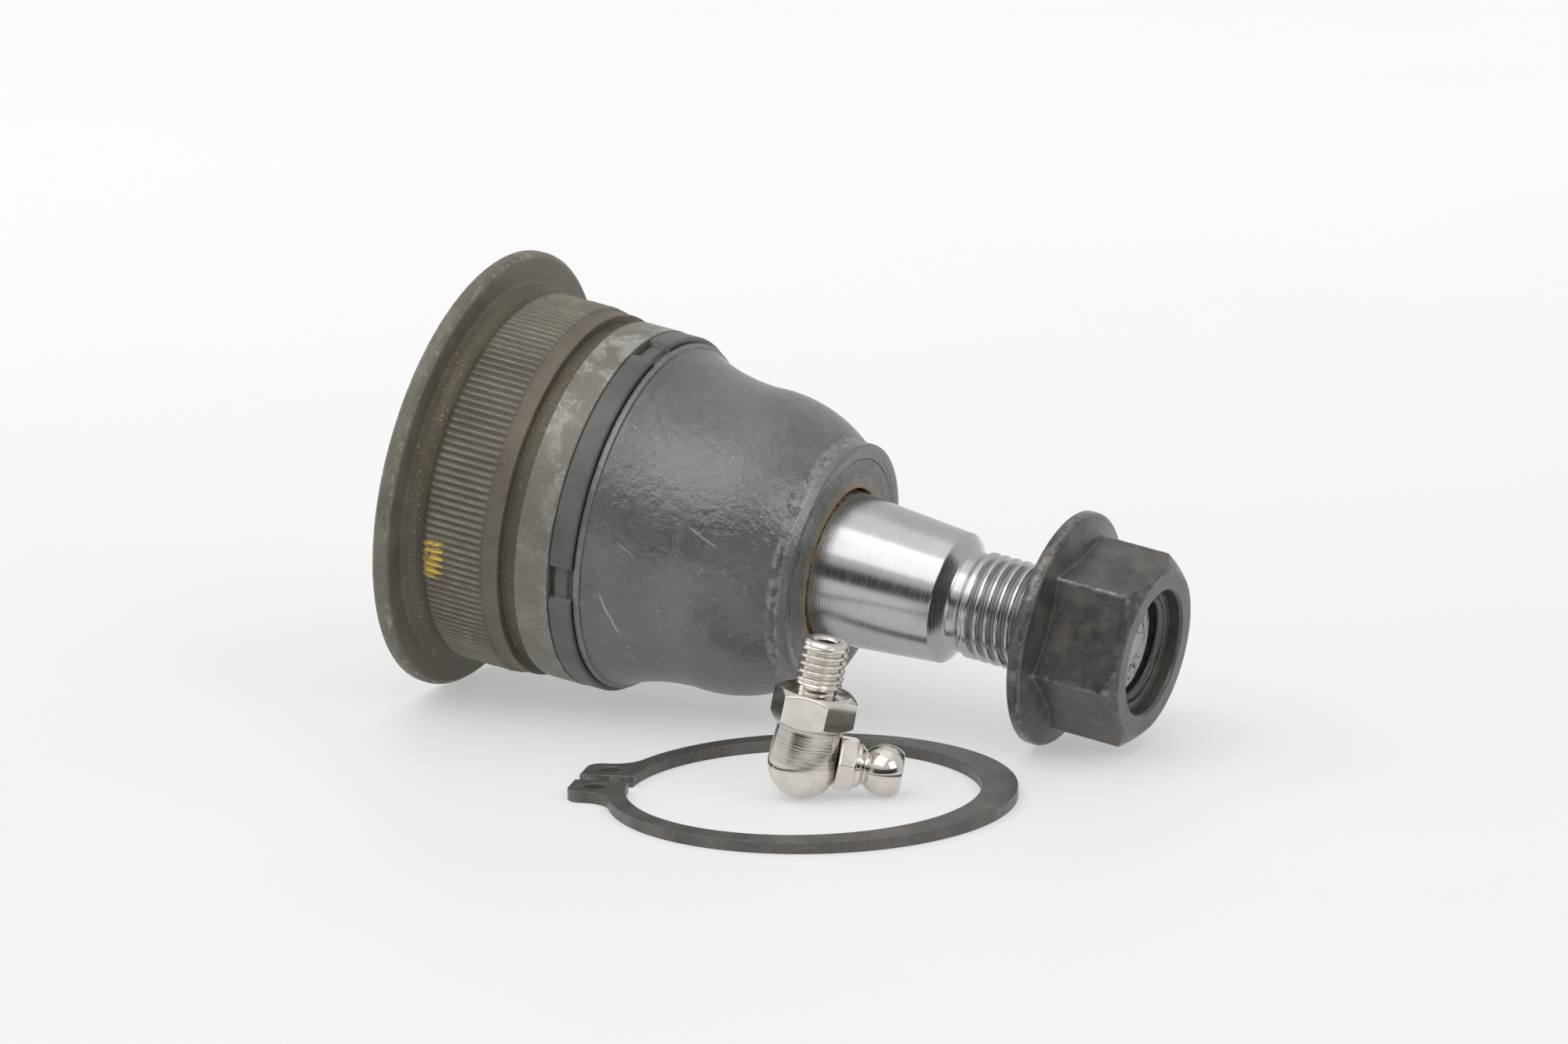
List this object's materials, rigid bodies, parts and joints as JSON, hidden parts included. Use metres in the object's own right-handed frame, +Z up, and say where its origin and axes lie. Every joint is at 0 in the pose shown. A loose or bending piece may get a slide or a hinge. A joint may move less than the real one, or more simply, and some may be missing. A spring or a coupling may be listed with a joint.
{
  "type": "suspension ball joint",
  "caption": "Press-in suspension ball joint with knurled flanged housing, rubber boot, tapered threaded stud and flange nut, beside its loose snap ring and elbow grease fitting.",
  "frame": {"origin": "on the table, under the middle of the joint and its loose snap ring together", "axes": "+Z up from the table that the joint lies on, +X along the joint's axis as seen from above, from the flange towards the nut; the axis itself slopes down by 9.4 degrees towards the nut, because the joint lies on its flange's rim and its nut's rim"},
  "size_m": [0.1023, 0.0904, 0.0574],
  "materials": {
    "phosphate_steel": "dark olive-brown manganese phosphate on turned steel, rubbed lighter on the pilot land",
    "plated_cap": "dull plain steel with a light oil film",
    "spring_steel": "plain oiled spring steel",
    "bearing": "moulded bearing plastic, matte",
    "ground_steel": "finely ground bright steel with a light oil film",
    "phosphate_nut": "dark grey phosphate on forged steel, lighter on its edges",
    "boot_rubber": "satin dark grey rubber with faint scuffs",
    "collar_grey": "thin satin grey coating on sheet steel",
    "ring_phosphate": "grey-brown phosphate on stamped spring steel, brighter on its cut edges",
    "nickel_plate": "bright warm nickel plate, slightly milky"
  },
  "bodies": {
    "stud": {"ball_stud": "ground_steel"},
    "nut": {"flange_nut": "phosphate_nut"},
    "lip": {"lip_ring": "collar_grey"},
    "seats": {"lower_bearing": "bearing", "upper_bearing": "bearing", "pressure_plate": "spring_steel", "boot": "boot_rubber"},
    "housing": {"housing": "phosphate_steel", "end_cap": "plated_cap", "preload_spring": "spring_steel", "boot_collar": "collar_grey"},
    "ring": {"snap_ring": "ring_phosphate"},
    "fitting": {"fitting_body": "nickel_plate", "fitting_nipple": "nickel_plate", "check_spring": "spring_steel"},
    "valve": {"check_ball": "ground_steel"}
  },
  "joints": [
    {"name": "stud_spin", "type": "hinge", "parent": "stud", "child": "lip", "pos_m": [-0.0309, 0.01622, 0.02629], "axis": [0.9866, 0, -0.1629], "continuous": true},
    {"name": "stud_tilt", "type": "hinge", "parent": "lip", "child": "seats", "pos_m": [-0.0309, 0.01622, 0.02629], "axis": [0.1629, 0, 0.9866], "range_deg": [-22, 22], "deforming": ["boot"]},
    {"name": "housing_spin", "type": "hinge", "parent": "seats", "child": "housing", "pos_m": [-0.0309, 0.01622, 0.02629], "axis": [0.9866, 0, -0.1629], "continuous": true},
    {"name": "nut_turn", "type": "hinge", "parent": "stud", "child": "nut", "pos_m": [0.03589, 0.01622, 0.01527], "axis": [0.9866, 0, -0.1629], "continuous": true},
    {"name": "ring_lift", "type": "slide", "parent": "stud", "child": "ring", "axis": [0, -0.4472, 0.8944], "range_m": [0, 0.04]},
    {"name": "fitting_lift", "type": "slide", "parent": "stud", "child": "fitting", "axis": [0, 0, 1], "range_m": [0, 0.04]},
    {"name": "check_push", "type": "slide", "parent": "fitting", "child": "valve", "axis": [-0.8771, -0.4354, 0.2028], "range_m": [0, 0.0005], "stiffness_N_per_m": 200, "deforming": ["check_spring"]}
  ]
}
